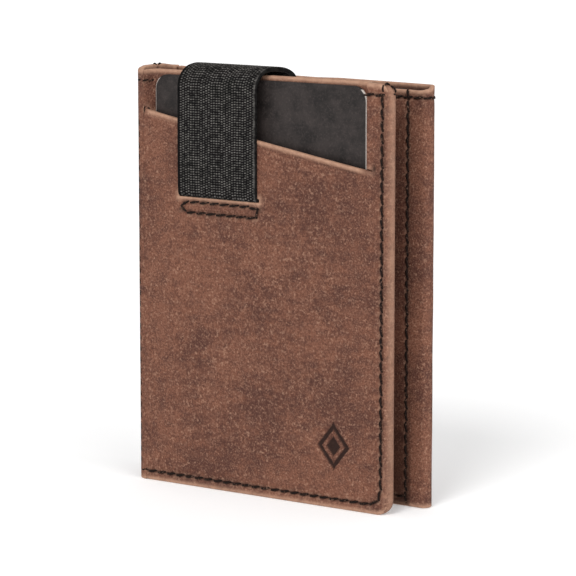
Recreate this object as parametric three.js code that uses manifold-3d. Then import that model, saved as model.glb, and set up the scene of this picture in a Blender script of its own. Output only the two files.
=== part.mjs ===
// Minimalist leather wallet, standing upright and closed, in millimetres, +Z up.
// Built in wallet coordinates: x runs right from the spine, y runs back from the
// face of the front cover, z runs up from the bottom edge. The last lines move the
// origin to the middle of the footprint.

import * as THREE from 'three';
import { mergeGeometries, mergeVertices } from 'three/addons/utils/BufferGeometryUtils.js';
import Module from 'manifold-3d';

// ---------------------------------------------------------------- driving sizes
const COVER_WIDTH = 64.6;      // front half, spine to cut edge
const COVER_HEIGHT = 90.5;
const BACK_HEIGHT = 89.7;      // back half, a little lower
const CLOSED_DEPTH = 13.6;     // face of the front cover to face of the rear cover
const LEATHER = 1.3;           // outer leather
const FOLDED_LEATHER = 1.1;    // leather that turns over at the right fold
const CORNER = 3.0;            // corner radius of the leather
const GAP = 0.3;               // between neighbours that were cut or turned

const CARD_WIDTH = 54.0;       // bank card, standing on its short side
const CARD_HEIGHT = 85.6;
const CARD_THICKNESS = 0.76;
const CARD_CORNER = 3.18;
const CARD_LEFT = 3.65;
const CARD_RIGHT = CARD_LEFT + CARD_WIDTH;
const POCKET_LEFT = CARD_LEFT - 0.2;   // room for the card between the side seams
const POCKET_RIGHT = CARD_RIGHT + 0.3;

const BAND_WIDTH = 20.4;       // elastic webbing
const BAND_THICKNESS = 1.1;
const BAND_LEFT = 11.65;
const BAND_RIGHT = BAND_LEFT + BAND_WIDTH;
const BAND_SLIT_HEIGHT = COVER_HEIGHT - 26.4;

// the slanted slit in the front cover, from its left end to its right end
const SLIT_LEFT = { x: 2.0, z: COVER_HEIGHT - 8.4 };
const SLIT_RIGHT = { x: 60.6, z: COVER_HEIGHT - 18.2 };

// depths of the layers of the front half where it is full of cards
const FRONT_CARD_FACE = 2.0;
const UPPER_STRIP_SET_BACK = 2.85;
const LINING_FACE = 4.22;
const BASE_PANEL_FACE = 4.6;
const PULL_CARD_FACE = 5.5;
const PULL_CARD_PITCH = CARD_THICKNESS + 0.2;
const BAND_REAR_FACE = 8.1;
const POCKET_PANEL_FACE = 9.28;

// the same layers where they are sewn flat together at the edge
const LINING_EDGE_FACE = 1.34;
const LINING_THICKNESS = 0.3;
const BASE_EDGE_FACE = 1.68;
const BASE_THICKNESS = 0.75;
const POCKET_EDGE_FACE = 2.47;
const POCKET_THICKNESS = 0.72;

// how far from the edge the sheets of the front half start to swell
const SWELL_FROM_RIGHT = 2.4;
const SWELL_FROM_BOTTOM = 0.5;
const SWELL_FULL_HEIGHT = 2.7;
const SHEET_TOP = COVER_HEIGHT - 0.4;  // lining and base panel, just under the cover's top edge
const PULL_POCKET_TOP = 74.0;          // the pull pocket's slanted mouth: height at the spine,
const PULL_POCKET_SLANT = 9.0;         // and how much lower it is on the right

const SEAM_INSET_RIGHT = 2.1;
const SEAM_INSET_BOTTOM = 2.1;
const SEAM_INSET_TOP = 2.35;
const THREAD_WIDTH = 0.55;
const THREAD_HEIGHT = 0.3;
const SKIN_CLEARANCE = 0.03;   // between a thread and the leather it lies on

// ---------------------------------------------------------------- materials
const leather = new THREE.MeshStandardMaterial({ color: 0x7d5747, roughness: 0.72 });
const innerLeather = new THREE.MeshStandardMaterial({ color: 0x6b4838, roughness: 0.8 });
const lining = new THREE.MeshStandardMaterial({ color: 0x2b2220, roughness: 0.9 });
const thread = new THREE.MeshStandardMaterial({ color: 0x1e0f0a, roughness: 0.6 });
const webbing = new THREE.MeshStandardMaterial({ color: 0x121212, roughness: 0.85 });
const cardPlastic = new THREE.MeshStandardMaterial({ color: 0x3a3531, roughness: 0.35 });
const cardPale = new THREE.MeshStandardMaterial({ color: 0x8f9aa3, roughness: 0.35 });
const paper = new THREE.MeshStandardMaterial({ color: 0x9aa88f, roughness: 0.9 });

const wallet = new THREE.Group();

function addPart(name, geometry, material) {
  const mesh = new THREE.Mesh(geometry, material);
  mesh.name = name;
  wallet.add(mesh);
}

// ---------------------------------------------------------------- helpers
function smooth(t) {
  const s = Math.min(1, Math.max(0, t));
  return s * s * (3 - 2 * s);
}

// 0 at the sewn edges, 1 where the cards are: from (outer) to (inner)
function ramp(value, outer, inner) {
  return smooth((value - outer) / (inner - outer));
}

// columns of the grid where the sheets leave the spine side
const RAMP_COLUMNS = [SLIT_LEFT.x, 2.5, 3.0, POCKET_LEFT];

function sideWindow(x, rightEnd) {
  return Math.min(ramp(x, SLIT_LEFT.x, POCKET_LEFT), ramp(x, rightEnd, POCKET_RIGHT));
}

function pocketWindow(x, z) {
  const side = sideWindow(x, COVER_WIDTH - SWELL_FROM_RIGHT);
  return Math.min(side, ramp(z, SWELL_FROM_BOTTOM, SWELL_FULL_HEIGHT));
}

function spread(from, to, count) {
  return Array.from({ length: count + 1 }, (_, i) => from + ((to - from) * i) / count);
}

// moves a grid point near a square corner onto the rounded corner
function roundCorner(x, z, box, radius) {
  const nearX = Math.min(box.right - radius, Math.max(box.left + radius, x));
  const nearZ = Math.min(box.top - radius, Math.max(box.bottom + radius, z));
  const u = (x - nearX) / radius;
  const v = (z - nearZ) / radius;
  const reachX = radius * u * Math.sqrt(1 - (v * v) / 2);
  const reachZ = radius * v * Math.sqrt(1 - (u * u) / 2);
  return [nearX + reachX, nearZ + reachZ];
}

function solidFromTriangles(positions, triangles) {
  const geometry = new THREE.BufferGeometry();
  geometry.setAttribute('position', new THREE.Float32BufferAttribute(positions.flat(), 3));
  geometry.setIndex(triangles.flat());
  return mergeVertices(geometry, 1e-4);
}

// One zone of a sheet: a grid of points with a front and a back surface.
// walls names the sides that are closed; a wall may cover part of the columns only.
function sheetZone(xs, zOf, rows, place, front, thickness, walls) {
  const positions = [];
  const triangles = [];
  const columns = xs.length;
  for (const side of [0, 1]) {
    for (let j = 0; j <= rows; j += 1) {
      for (let i = 0; i < columns; i += 1) {
        const [x, z] = place(xs[i], zOf(xs[i], j / rows));
        positions.push([x, front(xs[i], zOf(xs[i], j / rows)) + side * thickness, z]);
      }
    }
  }
  const at = (side, i, j) => side * columns * (rows + 1) + j * columns + i;
  const quad = (a, b, c, d) => triangles.push([a, b, c], [a, c, d]);
  for (let j = 0; j < rows; j += 1) {
    for (let i = 0; i < columns - 1; i += 1) {
      quad(at(0, i, j), at(0, i + 1, j), at(0, i + 1, j + 1), at(0, i, j + 1));
      quad(at(1, i, j), at(1, i, j + 1), at(1, i + 1, j + 1), at(1, i + 1, j));
    }
    quad(at(0, 0, j), at(0, 0, j + 1), at(1, 0, j + 1), at(1, 0, j));
    const last = columns - 1;
    quad(at(0, last, j), at(1, last, j), at(1, last, j + 1), at(0, last, j + 1));
  }
  for (let i = walls.bottom[0]; i < walls.bottom[1]; i += 1) {
    quad(at(0, i, 0), at(1, i, 0), at(1, i + 1, 0), at(0, i + 1, 0));
  }
  for (let i = walls.top[0]; i < walls.top[1]; i += 1) {
    quad(at(0, i, rows), at(0, i + 1, rows), at(1, i + 1, rows), at(1, i, rows));
  }
  return solidFromTriangles(positions, triangles);
}

// A sheet in one zone. heights are shares of the full height; above the middle they
// stretch to the sheet's own top(x).
function panel({ xs, heights, top, front, thickness, radius, box }) {
  const rows = heights.length - 1;
  const zOf = (x, v) => {
    const share = heights[Math.round(v * rows)];
    return share <= 0.5 ? share * box.top : share * box.top + (top(x) - box.top) * (share * 2 - 1);
  };
  const place = (x, z) => (z > box.top - radius ? [x, z] : roundCorner(x, z, box, radius));
  const all = [0, xs.length - 1];
  return sheetZone(xs, zOf, rows, place, front, thickness, { bottom: all, top: all });
}

// the solid of a flat outline in x and z, from y = face to face + depth
function slab(shape, face, depth, curveSegments = 6) {
  const geometry = new THREE.ExtrudeGeometry(shape, { depth, bevelEnabled: false, curveSegments });
  geometry.rotateX(Math.PI / 2);
  geometry.translate(0, face + depth, 0);
  return geometry;
}

function roundedRectangle(left, bottom, right, top, radius) {
  const shape = new THREE.Shape();
  shape.moveTo(left + radius, bottom);
  shape.lineTo(right - radius, bottom);
  shape.absarc(right - radius, bottom + radius, radius, -Math.PI / 2, 0, false);
  shape.lineTo(right, top - radius);
  shape.absarc(right - radius, top - radius, radius, 0, Math.PI / 2, false);
  shape.lineTo(left + radius, top);
  shape.absarc(left + radius, top - radius, radius, Math.PI / 2, Math.PI, false);
  shape.lineTo(left, bottom + radius);
  shape.absarc(left + radius, bottom + radius, radius, Math.PI, Math.PI * 1.5, false);
  return shape;
}

// a band of a given width along a line of points in the plane, with square ends
function stripShape(points, width) {
  const left = [];
  const right = [];
  points.forEach((point, i) => {
    const before = points[Math.max(0, i - 1)];
    const after = points[Math.min(points.length - 1, i + 1)];
    const direction = new THREE.Vector2().subVectors(after, before).normalize();
    const normal = new THREE.Vector2(-direction.y, direction.x).multiplyScalar(width / 2);
    left.push(point.clone().add(normal));
    right.push(point.clone().sub(normal));
  });
  return new THREE.Shape([...right, ...left.reverse()]);
}

function arcPoints(cx, cy, radius, fromDegrees, toDegrees, steps) {
  return spread(fromDegrees, toDegrees, steps).map((degrees) => {
    const angle = THREE.MathUtils.degToRad(degrees);
    return new THREE.Vector2(cx + radius * Math.cos(angle), cy + radius * Math.sin(angle));
  });
}

// an upright wall whose plan is the outline of points in x and y
function upright(shape, bottom, top) {
  const geometry = new THREE.ExtrudeGeometry(shape, { depth: top - bottom, bevelEnabled: false });
  geometry.translate(0, 0, bottom);
  return geometry;
}

// ---------------------------------------------------------------- booleans
const wasm = await Module();
wasm.setup();

function toSolid(geometry) {
  const bare = geometry.clone();
  bare.deleteAttribute('normal');
  bare.deleteAttribute('uv');
  const merged = mergeVertices(bare, 1e-4);
  return new wasm.Manifold(new wasm.Mesh({
    numProp: 3,
    vertProperties: new Float32Array(merged.attributes.position.array),
    triVerts: new Uint32Array(merged.index.array),
  }));
}

function subtract(geometry, cutter) {
  const mesh = toSolid(geometry).subtract(toSolid(cutter)).getMesh();
  const result = new THREE.BufferGeometry();
  result.setAttribute('position', new THREE.BufferAttribute(new Float32Array(mesh.vertProperties), 3));
  result.setIndex(new THREE.BufferAttribute(new Uint32Array(mesh.triVerts), 1));
  return result;
}

// ---------------------------------------------------------------- front half
const BEND_RADIUS = 1.6;
const COVER_LEFT = BEND_RADIUS + GAP / 2;

function slitHeight(x) {
  const t = (x - SLIT_LEFT.x) / (SLIT_RIGHT.x - SLIT_LEFT.x);
  return SLIT_LEFT.z + (SLIT_RIGHT.z - SLIT_LEFT.z) * Math.min(1, Math.max(0, t));
}

// The front cover is one hide. Above the slanted slit it is pushed back behind the
// front card; below the slit it stays flat in front of the card.
function frontCover() {
  const box = { left: -CORNER, right: COVER_WIDTH, bottom: 0, top: COVER_HEIGHT };
  const cornerColumns = spread(COVER_WIDTH - CORNER, COVER_WIDTH, 3);
  const xs = [
    COVER_LEFT, ...RAMP_COLUMNS, 12, 22, 32, 42, 52, POCKET_RIGHT, 60, SLIT_RIGHT.x,
    ...cornerColumns,
  ];
  const slitSpan = [1, xs.indexOf(SLIT_RIGHT.x)];
  const place = (x, z) => roundCorner(x, z, box, CORNER);
  const upperFace = (x) => UPPER_STRIP_SET_BACK * sideWindow(x, SLIT_RIGHT.x);
  const opening = (x) => (x > SLIT_LEFT.x && x < SLIT_RIGHT.x ? GAP : 0);
  const lowerShares = [0, 1, 2, 3, 20, 45, 70];
  const lowerRows = (x, v) => {
    const j = Math.round(v * lowerShares.length);
    return j === lowerShares.length ? slitHeight(x) : lowerShares[j];
  };
  const upperRows = (x, v) => {
    const j = Math.round(v * 4);
    return j === 0 ? slitHeight(x) + opening(x) : COVER_HEIGHT - CORNER + (j - 1);
  };
  const all = [0, xs.length - 1];
  const lower = sheetZone(xs, lowerRows, 7, place, () => 0, LEATHER, { bottom: all, top: slitSpan });
  const upper = sheetZone(xs, upperRows, 4, place, upperFace, LEATHER, { bottom: slitSpan, top: all });
  const hide = mergeVertices(mergeGeometries([lower, upper]), 1e-4);
  const slit = new THREE.BoxGeometry(BAND_WIDTH + 2 * GAP, 4, 1.7);
  slit.translate((BAND_LEFT + BAND_RIGHT) / 2, 0.6, BAND_SLIT_HEIGHT);
  return subtract(hide, slit);
}

// Sheets sewn behind the cover: flat at the edge, bulging back over the cards.
function bulgingSheet({ edgeFace, fullFace, thickness, topHeight, slant = 0, right = COVER_WIDTH }) {
  const box = { left: -CORNER, right, bottom: 0, top: topHeight };
  const xs = [
    COVER_LEFT, ...RAMP_COLUMNS, 14, 32, 48, POCKET_RIGHT, 59.4, 60.5,
    ...spread(right - CORNER, right, 3),
  ];
  const lowShares = [0, 0.6, 1.3, 2.0, 2.7, 3.2];
  const heights = [...lowShares.map((z) => z / topHeight), 0.25, 0.5, 0.75, 1];
  return panel({
    xs,
    heights,
    top: (x) => topHeight - (slant * (x - COVER_LEFT)) / right,
    front: (x, z) => edgeFace + (fullFace - edgeFace) * pocketWindow(x, z),
    thickness,
    radius: CORNER,
    box,
  });
}

function bankCard(left, bottom, face) {
  const right = left + CARD_WIDTH;
  const shape = roundedRectangle(left, bottom, right, bottom + CARD_HEIGHT, CARD_CORNER);
  return slab(shape, face, CARD_THICKNESS, 5);
}

const FRONT_CARD_BOTTOM = COVER_HEIGHT - 1.0 - CARD_HEIGHT;
const PULL_CARD_BOTTOM = 4.15;

addPart('front_cover', frontCover(), leather);
addPart('front_pocket_lining', bulgingSheet({
  edgeFace: LINING_EDGE_FACE,
  fullFace: LINING_FACE,
  thickness: LINING_THICKNESS,
  topHeight: SHEET_TOP,
}), lining);
addPart('inner_base_panel', bulgingSheet({
  edgeFace: BASE_EDGE_FACE,
  fullFace: BASE_PANEL_FACE,
  thickness: BASE_THICKNESS,
  topHeight: SHEET_TOP,
}), innerLeather);
addPart('inner_pocket_panel', bulgingSheet({
  edgeFace: POCKET_EDGE_FACE,
  fullFace: POCKET_PANEL_FACE,
  thickness: POCKET_THICKNESS,
  topHeight: PULL_POCKET_TOP,
  slant: PULL_POCKET_SLANT,
}), innerLeather);

addPart('front_card', bankCard(CARD_LEFT, FRONT_CARD_BOTTOM, FRONT_CARD_FACE), cardPlastic);
const PULL_CARDS = ['pull_card_1', 'pull_card_2'];
PULL_CARDS.forEach((name, i) => {
  addPart(name, bankCard(CARD_LEFT, PULL_CARD_BOTTOM, PULL_CARD_FACE + i * PULL_CARD_PITCH), cardPale);
});

// ---------------------------------------------------------------- pull band
const FRONT_RUN_FACE = -0.1 - BAND_THICKNESS;
const FRONT_RUN_BOTTOM = BAND_SLIT_HEIGHT + 0.95;
const ARCH_FOOT = 86.0;
const ARCH_SKEW = 3.7;         // the arch drifts right by this on its way back

// a ribbon of the band: a path in y and z, drawn out over the band's width
function ribbon(points, thickness = BAND_THICKNESS) {
  const geometry = new THREE.ExtrudeGeometry(stripShape(points, thickness), {
    depth: BAND_WIDTH, bevelEnabled: false,
  });
  // plan (a, b, depth) becomes (depth, a, b)
  const upright = new THREE.Matrix4().makeBasis(
    new THREE.Vector3(0, 1, 0), new THREE.Vector3(0, 0, 1), new THREE.Vector3(1, 0, 0),
  );
  return geometry.applyMatrix4(upright).translate(BAND_LEFT, 0, 0);
}

function skewBack(geometry, fromDepth, toDepth) {
  const position = geometry.attributes.position;
  for (let i = 0; i < position.count; i += 1) {
    const t = (position.getY(i) - fromDepth) / (toDepth - fromDepth);
    position.setX(i, position.getX(i) + ARCH_SKEW * Math.min(1, Math.max(0, t)));
  }
  return geometry;
}

const FRONT_RUN_MIDDLE = FRONT_RUN_FACE + BAND_THICKNESS / 2;
const REAR_RUN_MIDDLE = BAND_REAR_FACE + BAND_THICKNESS / 2;

function archPath() {
  const curve = new THREE.SplineCurve([
    new THREE.Vector2(FRONT_RUN_MIDDLE, ARCH_FOOT),
    new THREE.Vector2(FRONT_RUN_MIDDLE, COVER_HEIGHT - 2.6),
    new THREE.Vector2(-0.1, COVER_HEIGHT - 0.7),
    new THREE.Vector2(1.3, COVER_HEIGHT + 0.45),
    new THREE.Vector2(3.4, COVER_HEIGHT + 0.72),
    new THREE.Vector2(5.6, COVER_HEIGHT + 0.62),
    new THREE.Vector2(7.4, COVER_HEIGHT + 0.15),
    new THREE.Vector2(8.5, COVER_HEIGHT - 1.0),
    new THREE.Vector2(REAR_RUN_MIDDLE, COVER_HEIGHT - 2.6),
    new THREE.Vector2(REAR_RUN_MIDDLE, ARCH_FOOT),
  ]);
  return curve.getPoints(27);
}

function cradlePath() {
  const front = PULL_CARD_FACE - 0.35;
  const under = PULL_CARD_BOTTOM - 0.1 - BAND_THICKNESS / 2;
  return [
    new THREE.Vector2(REAR_RUN_MIDDLE, PULL_CARD_BOTTOM + 1.2),
    new THREE.Vector2(REAR_RUN_MIDDLE, PULL_CARD_BOTTOM + 0.4),
    new THREE.Vector2(REAR_RUN_MIDDLE - 0.35, under + 0.15),
    new THREE.Vector2(REAR_RUN_MIDDLE - 0.9, under),
    new THREE.Vector2(front + 0.55, under),
  ];
}

addPart('band_front_run', ribbon([
  new THREE.Vector2(FRONT_RUN_MIDDLE, FRONT_RUN_BOTTOM),
  new THREE.Vector2(FRONT_RUN_MIDDLE, ARCH_FOOT - GAP),
]), webbing);
addPart('band_arch', skewBack(ribbon(archPath()), 0, BAND_REAR_FACE), webbing);
const rearRun = ribbon([
  new THREE.Vector2(REAR_RUN_MIDDLE, PULL_CARD_BOTTOM + 1.2 + GAP),
  new THREE.Vector2(REAR_RUN_MIDDLE, ARCH_FOOT - GAP),
]);
addPart('band_rear_run', rearRun.translate(ARCH_SKEW, 0, 0), webbing);
addPart('band_cradle', ribbon(cradlePath()).translate(ARCH_SKEW, 0, 0), webbing);

// the sewn end goes through the slit and down behind the cover, under the box stitch
const ANCHOR_THICKNESS = 0.55;
addPart('band_anchor', ribbon([
  new THREE.Vector2(FRONT_RUN_MIDDLE, FRONT_RUN_BOTTOM - GAP),
  new THREE.Vector2(FRONT_RUN_MIDDLE + 0.2, BAND_SLIT_HEIGHT + 0.25),
  new THREE.Vector2(0.3, BAND_SLIT_HEIGHT - 0.12),
  new THREE.Vector2(1.25, BAND_SLIT_HEIGHT - 0.35),
  new THREE.Vector2(1.65, BAND_SLIT_HEIGHT - 0.9),
  new THREE.Vector2(1.66, BAND_SLIT_HEIGHT - 5.2),
], ANCHOR_THICKNESS), webbing);

// ---------------------------------------------------------------- spine
// the same hide bends twice at the left, round the filled inside of the wallet
const GLUE_LINE = 0.05;
const SPINE_LINING_INSET = 2.6;

function spineShape() {
  const front = BEND_RADIUS;
  const back = CLOSED_DEPTH - BEND_RADIUS;
  const inner = BEND_RADIUS - FOLDED_LEATHER;
  return new THREE.Shape([
    ...arcPoints(BEND_RADIUS, front, BEND_RADIUS, 270, 180, 4),
    ...arcPoints(BEND_RADIUS, back, BEND_RADIUS, 180, 90, 4),
    ...arcPoints(BEND_RADIUS, back, inner, 90, 180, 4),
    ...arcPoints(BEND_RADIUS, front, inner, 180, 270, 4),
  ]);
}

function spineLiningShape() {
  const left = FOLDED_LEATHER + GLUE_LINE;
  const right = left + LINING_THICKNESS;
  const front = SPINE_LINING_INSET;
  const back = CLOSED_DEPTH - SPINE_LINING_INSET;
  return new THREE.Shape([
    new THREE.Vector2(left, front),
    new THREE.Vector2(right, front),
    new THREE.Vector2(right, back),
    new THREE.Vector2(left, back),
  ]);
}

addPart('spine_leather', upright(spineShape(), 0, BACK_HEIGHT), leather);
addPart('spine_lining', upright(spineLiningShape(), 0.6, BACK_HEIGHT - 0.6), lining);

// ---------------------------------------------------------------- back half
// One hide is the rear cover, turns over at the rounded fold on the right, and comes
// back as the wall of the note pocket.
const FOLD_RIGHT = COVER_WIDTH + 3.2;
const POCKET_WALL_FACE = 10.25;
const FOLD_RADIUS = (CLOSED_DEPTH - POCKET_WALL_FACE) / 2;
const FOLD_CENTRE = { x: FOLD_RIGHT - FOLD_RADIUS, y: POCKET_WALL_FACE + FOLD_RADIUS };
const POCKET_WALL_LEFT = 3.4;

function backHideShape() {
  const { x, y } = FOLD_CENTRE;
  const inner = FOLD_RADIUS - FOLDED_LEATHER;
  return new THREE.Shape([
    new THREE.Vector2(COVER_LEFT, CLOSED_DEPTH - FOLDED_LEATHER),
    ...arcPoints(x, y, inner, 90, -90, 6),
    new THREE.Vector2(POCKET_WALL_LEFT, POCKET_WALL_FACE + FOLDED_LEATHER),
    new THREE.Vector2(POCKET_WALL_LEFT, POCKET_WALL_FACE),
    ...arcPoints(x, y, FOLD_RADIUS, -90, 90, 8),
    new THREE.Vector2(COVER_LEFT, CLOSED_DEPTH),
  ]);
}

const NOTE_FACE = POCKET_WALL_FACE + FOLDED_LEATHER + 0.14;
const NOTE_THICKNESS = 0.22;
const BACK_LINING_FACE = CLOSED_DEPTH - FOLDED_LEATHER - GLUE_LINE - LINING_THICKNESS;
// strips that close the note pocket at its bottom and its spine side
const POCKET_STRIP_FACE = POCKET_WALL_FACE + FOLDED_LEATHER + GLUE_LINE;
const POCKET_STRIP_DEPTH = CLOSED_DEPTH - FOLDED_LEATHER - GLUE_LINE - POCKET_STRIP_FACE;
const BOTTOM_STRIP_TOP = 2.7;

function backSlab(left, bottom, right, top, radius, face, depth) {
  return slab(roundedRectangle(left, bottom, right, top, radius), face, depth, 2);
}

addPart('back_hide', upright(backHideShape(), 0, BACK_HEIGHT), leather);
addPart('note_pocket_lining', backSlab(
  4.2, BOTTOM_STRIP_TOP + GAP, COVER_WIDTH - 2.6, BACK_HEIGHT - 1.2, 1.5, BACK_LINING_FACE,
  LINING_THICKNESS,
), lining);
addPart('folded_notes', backSlab(
  7.5, 5.5, 60.5, BACK_HEIGHT - 6.5, 0.6, NOTE_FACE, NOTE_THICKNESS,
), paper);
addPart('note_pocket_bottom_strip', backSlab(
  4.2, 0.3, COVER_WIDTH - 1.6, BOTTOM_STRIP_TOP, 0.4, POCKET_STRIP_FACE, POCKET_STRIP_DEPTH,
), innerLeather);
addPart('note_pocket_spine_strip', backSlab(
  POCKET_WALL_LEFT + 0.1, BOTTOM_STRIP_TOP + GAP, 4.05, BACK_HEIGHT - 0.4, 0.2, POCKET_STRIP_FACE,
  POCKET_STRIP_DEPTH,
), innerLeather);

// ---------------------------------------------------------------- seams
const THREAD_FACE = -SKIN_CLEARANCE - THREAD_HEIGHT;
const SEAM_X = COVER_WIDTH - SEAM_INSET_RIGHT;
const SEAM_TOP = COVER_HEIGHT - SEAM_INSET_TOP;
const SEAM_TURN = 2.6;

// bottom and right seam of the front half, then back along the top as far as the card
function edgeSeamShape() {
  return stripShape([
    new THREE.Vector2(COVER_LEFT + 0.2, SEAM_INSET_BOTTOM),
    ...arcPoints(SEAM_X - SEAM_TURN, SEAM_INSET_BOTTOM + SEAM_TURN, SEAM_TURN, 270, 360, 6),
    ...arcPoints(SEAM_X - 0.6, SEAM_TOP - 0.6, 0.6, 0, 90, 3),
    new THREE.Vector2(SLIT_RIGHT.x + 0.2, SEAM_TOP),
  ], THREAD_WIDTH);
}

function straightThread(from, to, face) {
  const ends = [new THREE.Vector2(...from), new THREE.Vector2(...to)];
  return slab(stripShape(ends, THREAD_WIDTH), face, THREAD_HEIGHT);
}

function boxStitch() {
  const top = BAND_SLIT_HEIGHT - 1.35;
  const bottom = top - 2.35;
  const shape = roundedRectangle(BAND_LEFT + 0.5, bottom, BAND_RIGHT - 0.3, top, 1.0);
  const hole = roundedRectangle(BAND_LEFT + 1.0, bottom + 0.5, BAND_RIGHT - 0.8, top - 0.5, 0.5);
  shape.holes.push(hole);
  return slab(shape, THREAD_FACE, THREAD_HEIGHT, 3);
}

// the seam along the spine lies on the front bend, on the flat between two of its edges
function spineThread() {
  const radius = BEND_RADIUS * Math.cos(Math.PI / 16) + SKIN_CLEARANCE + THREAD_HEIGHT / 2;
  const angle = Math.PI * 1.3125;
  const thread = new THREE.BoxGeometry(THREAD_HEIGHT, THREAD_WIDTH, 78);
  thread.rotateZ(angle);
  thread.translate(
    BEND_RADIUS + radius * Math.cos(angle), BEND_RADIUS + radius * Math.sin(angle), BACK_HEIGHT / 2,
  );
  return thread;
}

addPart('front_edge_seam', slab(edgeSeamShape(), THREAD_FACE, THREAD_HEIGHT), thread);
addPart('box_stitch', boxStitch(), thread);
addPart('spine_side_seam', spineThread(), thread);

// seams on the wall of the note pocket: beside the rounded fold, along the top and the bottom
const BACK_SEAM_X = COVER_WIDTH - 2.0;
const BACK_SEAM_TOP = BACK_HEIGHT - 2.5;
const BACK_THREAD_FACE = POCKET_WALL_FACE - SKIN_CLEARANCE - THREAD_HEIGHT;
const CROSS_SEAM_LEFT = POCKET_WALL_LEFT + 0.5;
const CROSS_SEAM_RIGHT = BACK_SEAM_X - THREAD_WIDTH / 2 - 0.1;

function backSeam(name, from, to) {
  addPart(name, straightThread(from, to, BACK_THREAD_FACE), thread);
}

backSeam('fold_seam', [BACK_SEAM_X, 0.6], [BACK_SEAM_X, BACK_HEIGHT - 0.4]);
backSeam('back_top_seam', [CROSS_SEAM_LEFT, BACK_SEAM_TOP], [CROSS_SEAM_RIGHT, BACK_SEAM_TOP]);
backSeam('back_bottom_seam', [CROSS_SEAM_LEFT, SEAM_INSET_BOTTOM], [CROSS_SEAM_RIGHT, SEAM_INSET_BOTTOM]);

// ---------------------------------------------------------------- origin
// the origin is the middle of the footprint, at the bottom
wallet.position.set(-FOLD_RIGHT / 2, -(FRONT_RUN_FACE + CLOSED_DEPTH) / 2, 0);

export default wallet;
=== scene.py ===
"""A slim upright leather wallet with an elastic pull band.

Shapes are worked out in wallet millimetres: x to the right from the spine, y back from the
face of the front cover, z up from the surface that it stands on. to_row() places them.
"""

import math

import bpy
import numpy as np
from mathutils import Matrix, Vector, noise
from mathutils.kdtree import KDTree


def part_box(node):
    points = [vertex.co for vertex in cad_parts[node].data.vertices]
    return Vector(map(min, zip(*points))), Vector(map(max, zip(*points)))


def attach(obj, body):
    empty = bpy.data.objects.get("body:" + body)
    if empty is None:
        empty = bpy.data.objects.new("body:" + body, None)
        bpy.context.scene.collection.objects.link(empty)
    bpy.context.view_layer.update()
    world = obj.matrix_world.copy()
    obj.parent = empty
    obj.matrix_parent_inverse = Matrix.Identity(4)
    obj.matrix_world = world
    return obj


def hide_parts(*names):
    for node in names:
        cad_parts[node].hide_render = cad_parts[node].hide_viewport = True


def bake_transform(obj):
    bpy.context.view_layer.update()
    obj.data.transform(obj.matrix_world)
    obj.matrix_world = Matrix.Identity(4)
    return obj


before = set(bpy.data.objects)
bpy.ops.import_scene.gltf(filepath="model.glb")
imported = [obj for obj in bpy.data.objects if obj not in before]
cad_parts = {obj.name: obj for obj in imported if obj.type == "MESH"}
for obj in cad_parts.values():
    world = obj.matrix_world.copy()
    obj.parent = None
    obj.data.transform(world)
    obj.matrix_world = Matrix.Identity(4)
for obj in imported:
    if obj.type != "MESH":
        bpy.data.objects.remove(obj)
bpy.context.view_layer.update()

# ---- sizes
MM = 0.001
ORIGIN = Vector((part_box("spine_leather")[0].x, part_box("front_cover")[0].y, 0.0))


def corners(node):
    """Lowest and highest corner of a CAD node in wallet millimetres."""
    low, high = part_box(node)
    return (low - ORIGIN) / MM, (high - ORIGIN) / MM


COVER_LEFT = corners("front_cover")[0].x
COVER_RIGHT, _, COVER_TOP = corners("front_cover")[1]
WALL_FACE = corners("back_hide")[0].y
FOLD_RIGHT, REAR_FACE, BACK_TOP = corners("back_hide")[1]
WALL_LEFT = corners("note_pocket_spine_strip")[0].x - 0.1
CARD_LOW, CARD_HIGH = corners("front_card")
BAND_LOW, BAND_HIGH = corners("band_front_run")
BAND_LEFT, BAND_RIGHT = BAND_LOW.x, BAND_HIGH.x
ARCH_FOOT = BAND_HIGH.z + 0.3
REAR_RUN_LOW, REAR_RUN_HIGH = corners("band_rear_run")
ARCH_SKEW = REAR_RUN_LOW.x - BAND_LEFT

# Leather: its thickness, and how it is bent and cut.
LEATHER = 1.3
FOLDED_LEATHER = 1.1
BEND_LEATHER = 0.9
BEND_RADIUS = 1.6
EDGE_ROUND = 0.32
EDGE_DEPTH = 3.3
CORNER = 3.0
SPINE_MIDDLE = REAR_FACE / 2
SPINE_BULGE = 0.4
FOLD_RADIUS = (REAR_FACE - WALL_FACE) / 2
FOLD_CENTRE = (FOLD_RIGHT - FOLD_RADIUS, WALL_FACE + FOLD_RADIUS)
INNER_SLANT = 9.0

# Openings in the front cover: the card slit's two ends, how far back the strip above it lies,
# and the height of the strap's slit.
SLIT_LEFT = (2.0, COVER_TOP - 8.4)
SLIT_RIGHT = (60.6, COVER_TOP - 18.2)
SET_BACK = 2.85
BAND_SLIT = COVER_TOP - 26.4

# The pressed mark: its middle, and its reach to each side and up and down.
MARK = (51.2, 13.5)
MARK_REACH = (3.9, 4.9)

# Seams: pitch and slant of the stitches, radius of the thread, and where the seams run.
STITCH = 2.5
STITCH_SLANT = 0.2
THREAD = 0.23
SEAM_RIGHT = COVER_RIGHT - 1.85
SEAM_BOTTOM = 2.1
SEAM_TOP = COVER_TOP - 2.35
BEND_SEAM_ANGLE = math.radians(234)
WALL_SEAM_RIGHT = COVER_RIGHT - 2.0
WALL_SEAM_TOP = BACK_TOP - 2.75
FRONT = (0, -1, 0)
REAR = (0, 1, 0)

# Cards and the elastic band.
CARD_CORNER = 3.18
CARD_BEVEL = 0.12
CORNER_STEPS = 8
BAND_WIDTH = BAND_RIGHT - BAND_LEFT
BAND_MIDDLE = BAND_LOW.y + 0.55
BAND_STEP = 0.105
WEAVE_ROW = 0.535
WEAVE_COLUMN = 0.67


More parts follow.
